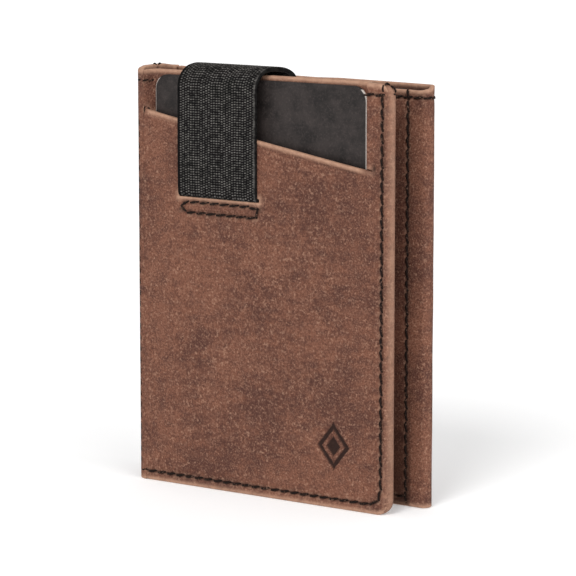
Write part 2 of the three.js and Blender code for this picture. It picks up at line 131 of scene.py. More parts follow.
def to_row(points):
    return np.asarray(points, float) * MM + np.array(ORIGIN)


def row_point(x, y, z):
    return tuple(ORIGIN + Vector((x, y, z)) * MM)


# ---- numbers
def smooth(t):
    t = np.clip(t, 0.0, 1.0)
    return t * t * (3 - 2 * t)


def window(value, rise_from, rise_to, fall_from, fall_to):
    up = smooth((value - rise_from) / (rise_to - rise_from))
    down = smooth((fall_to - value) / (fall_to - fall_from))
    return np.minimum(up, down)


def hump(distance, width):
    return np.exp(-((distance / width) ** 2))


def steps(*stops):
    """A list of values: steps(a, spacing, b, spacing, c) runs from a to b, then to c."""
    values = [stops[0]]
    for spacing, end in zip(stops[1::2], stops[2::2]):
        start = values[-1]
        count = max(1, round(abs(end - start) / spacing))
        values += [start + (end - start) * i / count for i in range(1, count + 1)]
    return np.array(values)


def evenly(points, spacing):
    """Lengths along a path at its points, and evenly spaced lengths from end to end."""
    lengths = np.concatenate([[0], np.cumsum(np.linalg.norm(np.diff(points, axis=0), axis=1))])
    return lengths, np.linspace(0, lengths[-1], max(2, round(lengths[-1] / spacing) + 1))


def values_at(at, lengths, values):
    return np.stack([np.interp(at, lengths, column) for column in values.T], 1)


def wobble(points, size, seed):
    """Smooth noise from -1 to 1 at each point, with features of the given size in mm."""
    shift = Vector((seed * 17.3, seed * 5.1, seed * 9.7))
    return np.array([noise.noise(Vector(p) / size + shift) for p in points])


def unevenness(points, size, seed):
    """Broad waves and fine grain of a hide, in mm."""
    return 0.05 * wobble(points, size, seed) + 0.012 * wobble(points, 1.3, seed + 1)


# ---- meshes
def into_scene(name, data):
    piece = bpy.data.objects.new(name, data)
    bpy.context.scene.collection.objects.link(piece)
    return piece


def link(name, points, faces, material, body=None, replaces=(), values=None):
    """Adds a piece to the scene; values holds numbers for each point that its material reads."""
    mesh = bpy.data.meshes.new(name)
    mesh.from_pydata(to_row(points).tolist(), [], faces)
    mesh.validate()
    mesh.shade_smooth()
    mesh.materials.append(material)
    for key, data in (values or {}).items():
        attribute = mesh.attributes.new(key, "FLOAT", "POINT")
        attribute.data.foreach_set("value", np.asarray(data, np.float32))
    piece = into_scene(name, mesh)
    if replaces:
        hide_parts(*replaces)
    if body:
        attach(piece, body)
    return piece


def grid_faces(rows, columns):
    return [
        (r * columns + c, r * columns + c + 1, (r + 1) * columns + c + 1, (r + 1) * columns + c)
        for r in range(rows - 1)
        for c in range(columns - 1)
    ]


def tube_faces(rings, sides):
    """Faces of a closed tube whose points are listed ring by ring."""
    faces = [
        (i * sides + k, i * sides + (k + 1) % sides,
         (i + 1) * sides + (k + 1) % sides, (i + 1) * sides + k)
        for i in range(rings - 1)
        for k in range(sides)
    ]
    faces.append(tuple(reversed(range(sides))))
    faces.append(tuple(range((rings - 1) * sides, rings * sides)))
    return faces


def vertex_normals(points, faces):
    quads = np.array(faces)
    across = points[quads[:, 2]] - points[quads[:, 0]]
    other = points[quads[:, 3]] - points[quads[:, 1]]
    face_normals = np.cross(across, other)
    normals = np.zeros_like(points)
    for k in range(4):
        np.add.at(normals, quads[:, k], face_normals)
    return normals / np.maximum(np.linalg.norm(normals, axis=1, keepdims=True), 1e-12)


def nearest(points, targets):
    """Distance from each point to the nearest target, and that target's number."""
    tree = KDTree(len(targets))
    for i, target in enumerate(targets):
        tree.insert(target, i)
    tree.balance()
    found = [tree.find(p) for p in points]
    return np.array([f[2] for f in found]), np.array([f[1] for f in found])


def thicken(outer, inner, faces, round_by, rim_steps=6):
    """A closed sheet between two surfaces that share their faces.

    round_by says for each point how far the cut edge swells out past it. Returns the points,
    the faces, and how near each point is to a cut edge, from 0 to 1.
    """
    outer, inner = np.asarray(outer, float), np.asarray(inner, float)
    round_by = np.broadcast_to(np.asarray(round_by, float), (len(outer),))
    directed = {(f[k], f[(k + 1) % 4]) for f in faces for k in range(4)}
    rim = sorted((a, b) for a, b in directed if (b, a) not in directed)
    normals = vertex_normals(outer, faces)
    outward = np.zeros_like(outer)
    for a, b in rim:
        side = np.cross(outer[b] - outer[a], normals[a] + normals[b])
        side /= max(np.linalg.norm(side), 1e-12)
        outward[a] += side
        outward[b] += side
    ends = sorted({i for edge in rim for i in edge})
    outward[ends] /= np.maximum(np.linalg.norm(outward[ends], axis=1, keepdims=True), 1e-12)
    count = len(outer)
    rings = [{i: i for i in ends}]
    points = [outer, inner]
    total = 2 * count
    for k in range(1, rim_steps):
        angle = math.pi * k / rim_steps
        along = (1 - math.cos(angle)) / 2
        ring = outer[ends] + (inner[ends] - outer[ends]) * along
        ring = ring + outward[ends] * (round_by[ends] * math.sin(angle))[:, None]
        points.append(ring)
        rings.append({i: total + n for n, i in enumerate(ends)})
        total += len(ends)
    rings.append({i: count + i for i in ends})
    sides = [
        (near[b], near[a], far[a], far[b]) for near, far in zip(rings, rings[1:]) for a, b in rim
    ]
    backs = [tuple(count + i for i in reversed(f)) for f in faces]
    cut = [outer[i] for i in ends if round_by[i] > 0.01] or [outer[ends[0]]]
    near_edge = hump(nearest(outer, cut)[0], 0.55)
    wear_and_highlight = np.concatenate([near_edge, near_edge, np.ones(total - 2 * count)])
    return np.concatenate(points), [*faces, *backs, *sides], wear_and_highlight


def round_corner(x, z, box, radius):
    """Moves points near a square corner of box (left, bottom, right, top) onto the round one."""
    near_x = np.clip(x, box[0] + radius, box[2] - radius)
    near_z = np.clip(z, box[1] + radius, box[3] - radius)
    u, v = (x - near_x) / radius, (z - near_z) / radius
    return near_x + radius * u * np.sqrt(1 - v * v / 2), near_z + radius * v * np.sqrt(1 - u * u / 2)


# ---- materials
class Shader:
    """A node material under construction: each method adds a node and returns its output."""

    def __init__(self, name):
        self.material = bpy.data.materials.new(name)
        self.material.use_nodes = True
        self.nodes = self.material.node_tree.nodes
        self.links = self.material.node_tree.links
        self.base = self.nodes["Principled BSDF"]
        self.place = self.nodes.new("ShaderNodeTexCoord").outputs["Object"]

    def put(self, socket, value):
        if isinstance(value, bpy.types.NodeSocket):
            self.links.new(value, socket)
        elif isinstance(value, tuple) and len(value) == 3 and len(socket.default_value) == 4:
            socket.default_value = (*value, 1.0)
        else:
            socket.default_value = value

    def set(self, **sockets):
        for key, value in sockets.items():
            self.put(self.base.inputs[key.replace("_", " ")], value)

    def stretched(self, x, y, z):
        node = self.nodes.new("ShaderNodeMapping")
        self.links.new(self.place, node.inputs["Vector"])
        node.inputs["Scale"].default_value = (x, y, z)
        return node.outputs["Vector"]

    def texture(self, kind, output, place=None, **inputs):
        node = self.nodes.new("ShaderNodeTex" + kind)
        self.links.new(place or self.place, node.inputs["Vector"])
        for key, number in inputs.items():
            node.inputs[key].default_value = number
        return node.outputs[output]

    def noise(self, size_mm, detail=3.0, roughness=0.55, place=None):
        return self.texture("Noise", "Fac", place, Scale=1.0 / (size_mm * MM), Detail=detail,
                            Roughness=roughness)

    def cells(self, size_mm):
        return self.texture("Voronoi", "Distance", Scale=1.0 / (size_mm * MM))

    def waves(self, scale, distortion=0.0):
        return self.texture("Wave", "Fac", Scale=scale, Distortion=distortion)

    def attribute(self, name):
        node = self.nodes.new("ShaderNodeAttribute")
        node.attribute_name = name
        return node.outputs["Fac"]

    def math(self, operation, a, b=0.0):
        node = self.nodes.new("ShaderNodeMath")
        node.operation = operation
        self.put(node.inputs[0], a)
        self.put(node.inputs[1], b)
        return node.outputs["Value"]

    def range(self, value, low, high, to_low=0.0, to_high=1.0):
        node = self.nodes.new("ShaderNodeMapRange")
        for key, number in zip(("Value", "From Min", "From Max", "To Min", "To Max"),
                               (value, low, high, to_low, to_high)):
            self.put(node.inputs[key], number)
        return node.outputs["Result"]

    def mix(self, factor, a, b):
        node = self.nodes.new("ShaderNodeMix")
        node.data_type = "RGBA"
        self.put(node.inputs["Factor"], factor)
        self.put(node.inputs[6], a)
        self.put(node.inputs[7], b)
        return node.outputs[2]

    def bump(self, height, strength, depth_mm, under=None):
        node = self.nodes.new("ShaderNodeBump")
        node.inputs["Strength"].default_value = strength
        node.inputs["Distance"].default_value = depth_mm * MM
        self.links.new(height, node.inputs["Height"])
        if under:
            self.links.new(under, node.inputs["Normal"])
        return node.outputs["Normal"]


def leather_material(name, dark, light, edge, pale_pores):
    """Oiled distressed leather: clouds, fine speckle, faint streaks, pale cut edges, and painted
    highlight and painted shade set by each point's values.
    """
    s = Shader(name)
    clouds = s.noise(15, 4)
    patches = s.noise(2.2, 6, 0.7)
    speckle = s.noise(0.4, 3, 0.8)
    flecks = s.noise(0.8, 2, 0.6)
    streaks = s.noise(5, 3, 0.5, s.stretched(1, 1, 3.2))
    tone = s.math("ADD", s.math("MULTIPLY", clouds, 0.45), s.math("MULTIPLY", patches, 0.35))
    tone = s.math("ADD", tone, s.math("MULTIPLY", streaks, 0.2))
    colour = s.mix(s.range(tone, 0.43, 0.57), dark, light)
    colour = s.mix(s.range(speckle, 0.5, 0.3, 0.0, 0.72), colour, tuple(c * 0.45 for c in dark))
    colour = s.mix(s.range(speckle, 0.5, 0.7, 0.0, pale_pores), colour, edge)
    colour = s.mix(s.range(flecks, 0.58, 0.75, 0.0, pale_pores), colour, edge)
    # Each point's wear value turns the colour pale at cut edges and beside stitch holes; on the
    # burnished edge it also paints a highlight.
    pale_wear_and_highlight = s.math("MULTIPLY", s.attribute("wear_and_highlight"), s.range(s.noise(1.3, 4), 0.3, 0.6, 0.55, 0.95))
    colour = s.mix(pale_wear_and_highlight, colour, edge)
    # Each point's pressed value darkens it: the pressed mark and stitch holes, and painted shade at
    # the slit-end holes, a crease, the pocket wall in the gap, inside the pocket and the back of the
    # burnished edge.
    colour = s.mix(s.attribute("pressed_and_shade"), colour, tuple(c * 0.2 for c in dark))
    grain = s.bump(s.cells(0.45), 0.35, 0.08, s.bump(speckle, 0.45, 0.12))
    s.set(Base_Color=colour, Specular_IOR_Level=0.2)
    s.set(Roughness=s.range(patches, 0.3, 0.7, 0.66, 0.84), Normal=grain)
    return s.material


def thread_material():
    s = Shader("waxed_thread")
    fibres = s.noise(0.22, 3)
    colour = s.mix(s.range(fibres, 0.35, 0.7), (0.0025, 0.0014, 0.001), (0.02, 0.009, 0.006))
    # Pale specks on the thread: partly frayed fibre, partly painted highlight on the wax.
    colour = s.mix(s.range(s.noise(0.55, 2), 0.6, 0.68, 0.0, 0.35), colour, (0.3, 0.17, 0.12))
    s.set(Base_Color=colour, Specular_IOR_Level=0.12)
    s.set(Roughness=s.range(fibres, 0.3, 0.7, 0.6, 0.8), Normal=s.bump(fibres, 0.5, 0.06))
    return s.material


def webbing_material():
    """Black elastic: the crests of the weave catch grey light, the selvedge is smooth."""
    s = Shader("elastic_webbing")
    fibres = s.noise(0.16, 3)
    shade = s.math("MULTIPLY", s.attribute("crest"), s.range(s.noise(0.9, 3), 0.38, 0.62, 0.2, 1.0))
    colour = s.mix(shade, (0.0018, 0.0018, 0.0019), (0.23, 0.215, 0.2))
    s.set(Base_Color=colour, Specular_IOR_Level=0.05)
    s.set(Roughness=s.range(fibres, 0.3, 0.7, 0.7, 0.9), Normal=s.bump(fibres, 0.5, 0.05))
    return s.material


def plastic_material(name, colour, other, rim):
    """A bank card: satin film with a fine print screen, and a pale core at its cut edge."""
    s = Shader(name)
    speck = s.noise(0.45, 4, 0.7)
    print_tone = s.mix(s.range(s.noise(5, 5, 0.65), 0.4, 0.6), colour, other)
    pale = tuple(c * 2.2 for c in other)
    print_tone = s.mix(s.range(speck, 0.5, 0.75, 0.0, 0.6), print_tone, pale)
    s.set(Base_Color=s.mix(s.attribute("core"), print_tone, rim), Specular_IOR_Level=0.22)
    s.set(Roughness=s.range(speck, 0.3, 0.7, 0.42, 0.55), Normal=s.bump(speck, 0.12, 0.03))
    return s.material


def lining_material():
    s = Shader("lining_fabric")
    thread = s.math("MULTIPLY", s.waves(900), s.noise(0.35, 2))
    s.set(Base_Color=s.mix(thread, (0.018, 0.013, 0.012), (0.06, 0.045, 0.04)))
    s.set(Roughness=s.range(thread, 0.0, 1.0, 0.8, 0.95), Normal=s.bump(thread, 0.5, 0.06))
    return s.material


def paper_material():
    """Plain generic paper money: pale green fibre with fine wavy lines."""
    s = Shader("note_paper")
    lines = s.range(s.waves(420, 6), 0.6, 0.9)
    colour = s.mix(lines, (0.34, 0.42, 0.31), (0.12, 0.2, 0.13))
    s.set(Base_Color=s.mix(s.range(s.noise(0.7, 3), 0.3, 0.8, 0, 0.3), colour, (0.6, 0.62, 0.5)))
    s.set(Roughness=s.range(s.noise(1.5, 3), 0.3, 0.7, 0.8, 0.95))
    return s.material


COVER_LEATHER = leather_material(
    "cover_leather", (0.0835, 0.0315, 0.0215), (0.1655, 0.066, 0.0402), (0.425, 0.248, 0.167), 0.36)
INNER_LEATHER = leather_material(
    "inner_leather", (0.085, 0.034, 0.021), (0.14, 0.061, 0.038), (0.34, 0.19, 0.13), 0.25)
SEAM_THREAD = thread_material()
WEBBING = webbing_material()
DARK_CARD = plastic_material(
    "dark_card", (0.012, 0.0095, 0.009), (0.03, 0.0235, 0.022), (0.85, 0.79, 0.73))
PALE_CARD = plastic_material(
    "pale_card", (0.22, 0.27, 0.32), (0.28, 0.33, 0.38), (0.8, 0.8, 0.78))
LINING = lining_material()
PAPER = paper_material()


# ---- stitches
def resample(path, spacing):
    """Points and surface normals every spacing mm along a list of (point, normal) pairs."""
    points = np.array([p for p, _ in path], float)
    normals = np.array([n for _, n in path], float)
    lengths, at = evenly(points, spacing)
    normal = values_at(at, lengths, normals)
    return values_at(at, lengths, points), normal / np.linalg.norm(normal, axis=1, keepdims=True)


def stitch_mesh(start, end, normal_a, normal_b, radius, proud):
    """One twisted stitch that lies on the leather and dips into it at both ends."""
    rings, sides, sunk = 11, 10, 0.32
    run = end - start
    length = np.linalg.norm(run)
    run = run / length
    points = []
    for i in range(rings):
        t = i / (rings - 1)
        normal = normal_a * (1 - t) + normal_b * t
        normal = normal / np.linalg.norm(normal)
        across = np.cross(normal, run)
        arch = math.sin(math.pi * t) ** 0.6
        centre = start + run * length * t + across * STITCH_SLANT * (t - 0.5) * 2
        centre = centre + normal * (-sunk + (sunk + proud) * arch)
        thick = radius * (0.62 + 0.38 * arch)
        for k in range(sides):
            angle = 2 * math.pi * k / sides
            lobe = 1 + 0.16 * math.cos(2 * (angle - t * length * 2.2))
            offset = across * math.cos(angle) + normal * math.sin(angle) * 0.82
            points.append(centre + offset * thick * lobe)
    return points, tube_faces(rings, sides)


def seam(name, paths, body, replaces=(), pitch=STITCH, fill=0.84, radius=THREAD, proud=0.1):
    """A run of separate stitches along each path, in one piece; fill is thread to pitch."""
    points, faces = [], []
    for path in paths:
        place, normal = resample(path, pitch)
        for i in range(len(place) - 1):
            gap = (place[i + 1] - place[i]) * (1 - fill) / 2
            part, part_faces = stitch_mesh(
                place[i] + gap, place[i + 1] - gap, normal[i], normal[i + 1], radius, proud)
            faces += [tuple(len(points) + k for k in f) for f in part_faces]
            points += part
    return link(name, points, faces, SEAM_THREAD, body, replaces)


def tight_seam(points, paths):
    """How seams pull the leather in, darken it at the holes and rub it pale beside them."""
    dense, phase = [], []
    for path in paths:
        place, _ = resample(path, STITCH)
        for here, after in zip(place, place[1:]):
            for share in np.arange(0, 1, 0.125):
                dense.append(here + (after - here) * share)
                phase.append(share)
        dense.append(place[-1])
        phase.append(0.0)
    distance, number = nearest(points, dense)
    at_hole = 0.5 + 0.5 * np.cos(2 * math.pi * np.array(phase)[number])
    pull = hump(distance, 0.55) * (0.09 + 0.11 * at_hole) + 0.05 * hump(distance, 1.4)
    rubbed = hump(distance - 0.42, 0.22) * at_hole**2 * (0.5 + 0.5 * wobble(points, 1.7, 12))
    return pull, hump(distance, 0.34) * (0.35 + 0.65 * at_hole), rubbed


# ---- front cover
def slit_height(x):
    t = np.clip((x - SLIT_LEFT[0]) / (SLIT_RIGHT[0] - SLIT_LEFT[0]), 0, 1)
    return SLIT_LEFT[1] + (SLIT_RIGHT[1] - SLIT_LEFT[1]) * t


def cover_face(x, z):
    """Depth of the cover's face below the slit: flat at the seams, swollen over the card."""
    across = window(x, COVER_LEFT, 11, 51, SEAM_RIGHT + 0.4)
    upward = window(z, SEAM_BOTTOM, 13, 200, 300)
    below = slit_height(x) - z
    lip = window(x, 3, 7, 56, 60)
    face = -0.42 * across * upward
    face = face - 0.16 * lip * hump(below, 0.7) + 0.15 * lip * hump(below - 1.35, 0.3)
    strap = window(x, BAND_LEFT - 1.2, BAND_LEFT, BAND_RIGHT, BAND_RIGHT + 1.2)
    face = face - 0.16 * strap * window(z, BAND_SLIT - 6.2, BAND_SLIT - 5, BAND_SLIT - 0.6, BAND_SLIT)
    return face + roll_off(x, z)


def roll_off(x, z):
    """How far the margin outside the seams falls back toward the cut edge."""
    right = np.clip((x - SEAM_RIGHT - 0.3) / (COVER_RIGHT - SEAM_RIGHT - 0.3), 0, 1)
    bottom = np.clip((1.2 - z) / 1.2, 0, 1)
    top = np.clip((z - COVER_TOP + 1.2) / 1.2, 0, 1)
    return 1.1 * right**2 + 0.2 * bottom**2 + 0.2 * top**2


def strip_face(x):
    """Depth of the narrow strip above the slit, which lies behind the card."""
    left = smooth((x - SLIT_LEFT[0] + 0.5) / (CARD_LOW.x + 0.4 - SLIT_LEFT[0]))
    right = smooth((CARD_HIGH.x + 1.3 - x) / 1.1)
    return SET_BACK * np.minimum(left, right)


def slit_ends(x, z):
    """Round punched holes at both ends of the slit, as a depth from 0 to 1; the same value paints
    shade on the holes' walls.
    """
    left = np.hypot(x - SLIT_LEFT[0] + 0.35, z - SLIT_LEFT[1] + 0.3)
    right = np.hypot(x - SLIT_RIGHT[0] - 0.2, (z - SLIT_RIGHT[1] - 0.6) / 1.8)
    return np.maximum(hump(left - 0.45, 0.25), hump(right, 0.42))


def mark_depth(x, z):
    """A plain lozenge inside another, pressed into the leather."""
    reach = np.abs(x - MARK[0]) / MARK_REACH[0] + np.abs(z - MARK[1]) / MARK_REACH[1]
    ring = window(reach, 0.7, 0.75, 1.0, 1.05)
    return np.maximum(ring, 1 - smooth((reach - 0.42) / 0.06))


def front_seams():
    """Paths of the edge seam, its run over the right edge, and the short one by the spine."""
    turn = 2.6
    corner = [
        ((SEAM_RIGHT - turn * (1 - math.sin(a)), 0, SEAM_BOTTOM + turn * (1 - math.cos(a))), FRONT)
        for a in np.linspace(0, math.pi / 2, 8)
    ]
    edge = [((-0.1, 0.65, SEAM_BOTTOM), (-0.7, -0.7, 0)), ((0.8, 0.08, SEAM_BOTTOM), FRONT),
            ((COVER_LEFT, 0, SEAM_BOTTOM), FRONT), *corner, ((SEAM_RIGHT, 0, SEAM_TOP - 0.2), FRONT)]
    top = [((CARD_HIGH.x + 0.35, 0, SEAM_TOP), FRONT), ((COVER_RIGHT - 1.0, 0.1, SEAM_TOP), FRONT),
           ((COVER_RIGHT, 1.0, SEAM_TOP), (0.85, -0.5, 0)),
           ((COVER_RIGHT + 0.04, 2.6, SEAM_TOP), (1, 0, 0))]
    top_left = [((-0.1, 0.6, SEAM_TOP), (-0.7, -0.7, 0)), ((0.9, 0.05, SEAM_TOP), FRONT),
                ((2.5, 0.1, SEAM_TOP - 0.1), FRONT), ((3.5, 1.9, SEAM_TOP - 0.1), (0.8, -0.6, 0))]
    return edge, top, top_left


def on_cover(path):
    """Lays the part of a path that faces the front on the swollen face of the cover."""
    laid = []
    for (x, y, z), normal in path:
        if normal == FRONT and x > COVER_LEFT - 0.01:
            y = float(cover_face(np.array(x), np.array(z)))
        laid.append(((x, y, z), normal))
    return laid


def bend_seam():
    """The seam along the spine, on the front bend of the hide."""
    normal = (math.cos(BEND_SEAM_ANGLE), math.sin(BEND_SEAM_ANGLE), 0)
    x, y = (BEND_RADIUS + BEND_RADIUS * n for n in normal[:2])
    return [((x - 0.25, y, z), normal) for z in (SEAM_BOTTOM + 1.0, SEAM_TOP - 8.0)]


def box_stitch_path():
    top, bottom, end = BAND_SLIT - 1.4, BAND_SLIT - 3.7, 1.1
    left, right = BAND_LEFT + 0.3, BAND_RIGHT + 0.6
    middle = (top + bottom) / 2
    half = (top - bottom) / 2
    turn = np.linspace(-math.pi / 2, math.pi / 2, 6)
    path = [(right - end + end * math.cos(a), middle + half * math.sin(a)) for a in turn]
    path += [(left + end - end * math.cos(a), middle - half * math.sin(a)) for a in turn]
    path.append(path[0])
    return on_cover([((x, 0, z), FRONT) for x, z in path])


def cover_rows(columns, opening):
    """Heights of the rows of points below and above the slit, at every column."""
    low_rows = steps(EDGE_ROUND, 0.3, 3.4, 0.6, MARK[1] - MARK_REACH[1], 0.27,
                     MARK[1] + MARK_REACH[1], 0.65, 60.0, 0.6, 70.0)
    top_rows = steps(COVER_TOP - 5, 0.3, COVER_TOP - EDGE_ROUND)
    gap = (0.08 + 0.14 * window(columns, 2.6, 3.6, 57.6, 59.0)) * opening
    below = slit_height(columns) - gap / 2 - EDGE_ROUND * opening
    lower = [np.full_like(columns, z) for z in low_rows]
    lower += [low_rows[-1] + (below - low_rows[-1]) * t for t in steps(0.0, 0.06, 1.0)[1:]]
    tuck = 0.9 * smooth((strip_face(columns) - LEATHER) / 0.6)
    above = slit_height(columns) + gap / 2 + EDGE_ROUND * opening - tuck
    upper = [above + (top_rows[0] - above) * t for t in steps(0.0, 0.025, 0.15, 0.1, 1.0)]
    upper += [np.full_like(columns, z) for z in top_rows[1:]]
    return lower, upper


def cover_sheet():
    """Points and faces of the cover: two grids that are joined beside the slit."""
    mark_side = MARK_REACH[0] + 0.7
    columns = steps(COVER_LEFT, 0.25, 3.4, 0.6, 11.4, 0.7, MARK[0] - mark_side, 0.27,
                    MARK[0] + mark_side, 0.6, 59.0, 0.25, SLIT_RIGHT[0], 0.35, 61.6, 0.25,
                    63.6, 0.3, COVER_RIGHT - EDGE_ROUND)
    opening = np.where((columns > SLIT_LEFT[0]) & (columns < SLIT_RIGHT[0]), 1.0, 0.0)
    box = (-CORNER, EDGE_ROUND, COVER_RIGHT - EDGE_ROUND, COVER_TOP - EDGE_ROUND)

    def place(rows, depth):
        x = np.tile(columns, (len(rows), 1))
        z = np.array(rows)
        y = depth(x, z)
        x, z = round_corner(x, z, box, CORNER - EDGE_ROUND)
        return np.stack([x, y, z], 2).reshape(-1, 3)

    lower, upper = cover_rows(columns, opening)
    low_points = place(lower, cover_face)
    high_points = place(upper, lambda x, z: strip_face(x) + roll_off(x, z))
    count = len(columns)
    last_row = (len(lower) - 1) * count
    number = {c: last_row + c for c in range(count) if not opening[c]}
    kept = [i for i in range(len(high_points)) if i not in number]
    number.update((i, len(low_points) + n) for n, i in enumerate(kept))
    faces = grid_faces(len(lower), count)
    faces += [tuple(number[i] for i in f) for f in grid_faces(len(upper), count)]
    return np.concatenate([low_points, high_points[kept]]), faces


def front_cover():
    outer, faces = cover_sheet()
    faces = cut_strap_slit(outer, faces)
    pull, holes, rubbed = tight_seam(outer, [*front_seams(), box_stitch_path()])
    # Sunk into the face and darkened: the pressed mark as real pressed leather, the slit-end holes
    # with painted shade on their walls.
    pressed_and_shade = np.maximum(mark_depth(outer[:, 0], outer[:, 2]), slit_ends(outer[:, 0], outer[:, 2]))
    round_by = np.where(outer[:, 0] > COVER_LEFT + 0.01, EDGE_ROUND, 0.0)
    inner = outer + np.array((0, LEATHER, 0))
    outer[:, 1] += pull + 0.28 * pressed_and_shade + unevenness(outer, 7.0, 1)
    points, faces, wear_and_highlight = thicken(outer, inner, faces, round_by)
    spare = len(points) - len(outer)
    at_slit = hump(points[:, 2] - slit_height(points[:, 0]), 1.2)
    wear_and_highlight *= 1 - 0.8 * at_slit * (1 - window(points[:, 0], 2.6, 3.8, 57.4, 58.6))
    wear_and_highlight = np.maximum(wear_and_highlight, 0.35 * smooth((points[:, 0] - SEAM_RIGHT - 0.2) / 0.7))
    wear_and_highlight = np.maximum(wear_and_highlight, np.concatenate([rubbed, np.zeros(spare)]))
    # Painted shade along the crease under the slit's lower lip.
    below_slit = slit_height(outer[:, 0]) - outer[:, 2]
    crease_shade = 0.3 * window(outer[:, 0], 3, 7, 56, 60) * hump(below_slit - 1.35, 0.22)
    dark = np.concatenate([np.maximum(0.95 * pressed_and_shade, holes) + crease_shade, np.zeros(spare)])
    link("front_cover_hide", points, faces, COVER_LEATHER, "front_half",
         ["front_cover"], {"wear_and_highlight": wear_and_highlight, "pressed_and_shade": dark})


def cut_strap_slit(points, faces):
    """Leaves out the faces where the band comes through the cover."""
    centres = points[np.array(faces)].mean(axis=1)
    inside = (np.abs(centres[:, 2] - BAND_SLIT) < 0.62) & (
        (centres[:, 0] > BAND_LEFT - 0.3) & (centres[:, 0] < BAND_RIGHT + 0.3))
    return [f for f, cut in zip(faces, inside) if not cut]


# ---- sheets round the wallet
def bend_path(corner_depth, start_depth, toward_front):
    """Plan of the hide at a bend of the spine, outer and inner, from spine to cover."""
    sign = 1 if toward_front else -1
    centre = corner_depth + sign * BEND_RADIUS
    flat = [(0.0, y) for y in np.linspace(start_depth, centre + sign * 0.2, 7)]

    def turn(radius):
        return [(BEND_RADIUS - radius * math.cos(a), centre - sign * radius * math.sin(a))
                for a in np.linspace(0, math.pi / 2, 12)]

    outer = flat + turn(BEND_RADIUS) + [(COVER_LEFT, corner_depth)]
    inner = [(BEND_LEATHER, y) for _, y in flat] + turn(BEND_RADIUS - BEND_LEATHER)
    inner += [(COVER_LEFT, corner_depth + sign * BEND_LEATHER)]
    return (outer, inner) if toward_front else (outer[::-1], inner[::-1])


def upright_hide(outer_plan, inner_plan, top_of):
    """Grids of a sheet whose plan is drawn upward, outer and inner, with their faces."""
    rows = steps(EDGE_ROUND, 0.3, 3.4, 0.7, 84.0, 0.35, 100.0)
    share = (rows - rows[0]) / (rows[-1] - rows[0])
    outer, inner = [], []
    for t in share:
        for plan, grid in ((outer_plan, outer), (inner_plan, inner)):
            for (x, y), (fx, fy) in zip(plan, outer_plan):
                top = top_of(fx, fy) - EDGE_ROUND
                grid.append((x, y, rows[0] + (top - rows[0]) * t))
    return np.array(outer), np.array(inner), grid_faces(len(rows), len(outer_plan))


def top_of_spine(_, y):
    """The spine stands a little higher than the covers on both sides of it."""
    rise = 0.65 * float(smooth(y / 3.0))
    return COVER_TOP + rise - 0.6 * float(smooth((y - 8) / (REAR_FACE - 8)))


def spine_bends():
    for name, corner, toward_front, body in (
        ("front_bend_hide", 0.0, True, "front_half"),
        ("rear_bend_hide", REAR_FACE, False, "back_half"),
    ):
        outer_plan, inner_plan = bend_path(corner, SPINE_MIDDLE, toward_front)
        outer, inner, faces = upright_hide(outer_plan, inner_plan, top_of_spine)
        middle = np.abs(outer[:, 1] - SPINE_MIDDLE) < 0.01
        joined = middle | (outer[:, 0] > COVER_LEFT - 0.01)
        bulge = smooth((COVER_LEFT - outer[:, 0]) / COVER_LEFT)
        outer[:, 0] -= SPINE_BULGE * np.where(middle, 1, bulge)
        outer[:, 0] += np.where(middle, 0, 0.03 * wobble(outer, 5.0, 3))
        points, faces, wear_and_highlight = thicken(outer, inner, faces, np.where(joined, 0.0, EDGE_ROUND))
        piece = link(name, points, faces, COVER_LEATHER, None, ["spine_leather"],
                     {"wear_and_highlight": wear_and_highlight, "pressed_and_shade": np.zeros(len(points))})
        blend_bend(piece)


def blend_bend(piece):
    """Bakes the placement of a piece between the spine and one cover into its mesh."""
    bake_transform(piece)


def top_of_back(x, y):
    """The rear cover stands a little higher than the pocket wall and drops at the fold."""
    rear = float(smooth((y - WALL_FACE - 0.5) / (REAR_FACE - WALL_FACE - 1.0)))
    dip = float(np.interp(x, (0, 15, 38, 44, 62, 68), (-0.05, 0.4, 0.76, 0.6, 0.78, 0.85)))
    return COVER_TOP - dip - (1 - rear) * (1.15 - 0.45 * float(smooth((x - 65) / 3)))


def fold_turn(radius, count):
    """Plan of the rounded fold between its two flat sides: each point and its direction out."""
    return [
        (FOLD_CENTRE[0] + radius * math.cos(a), FOLD_CENTRE[1] + radius * math.sin(a),
         math.cos(a), math.sin(a))
        for a in np.linspace(-math.pi / 2, math.pi / 2, count + 2)[1:-1]
    ]


def back_plan():
    """Plan of the back hide, outer and inner: pocket wall, fold and rear cover."""
    wall = steps(WALL_LEFT, 0.8, 56.0, 0.4, 61.6, 0.2, 63.6, 0.35, FOLD_CENTRE[0])
    rear = steps(FOLD_CENTRE[0], 0.7, COVER_LEFT)
    return [
        [(x, WALL_FACE + depth) for x in wall]
        + [(x, y) for x, y, _, _ in fold_turn(FOLD_RADIUS - depth, 13)]
        + [(x, REAR_FACE - depth) for x in rear]
        for depth in (0.0, FOLDED_LEATHER)
    ]


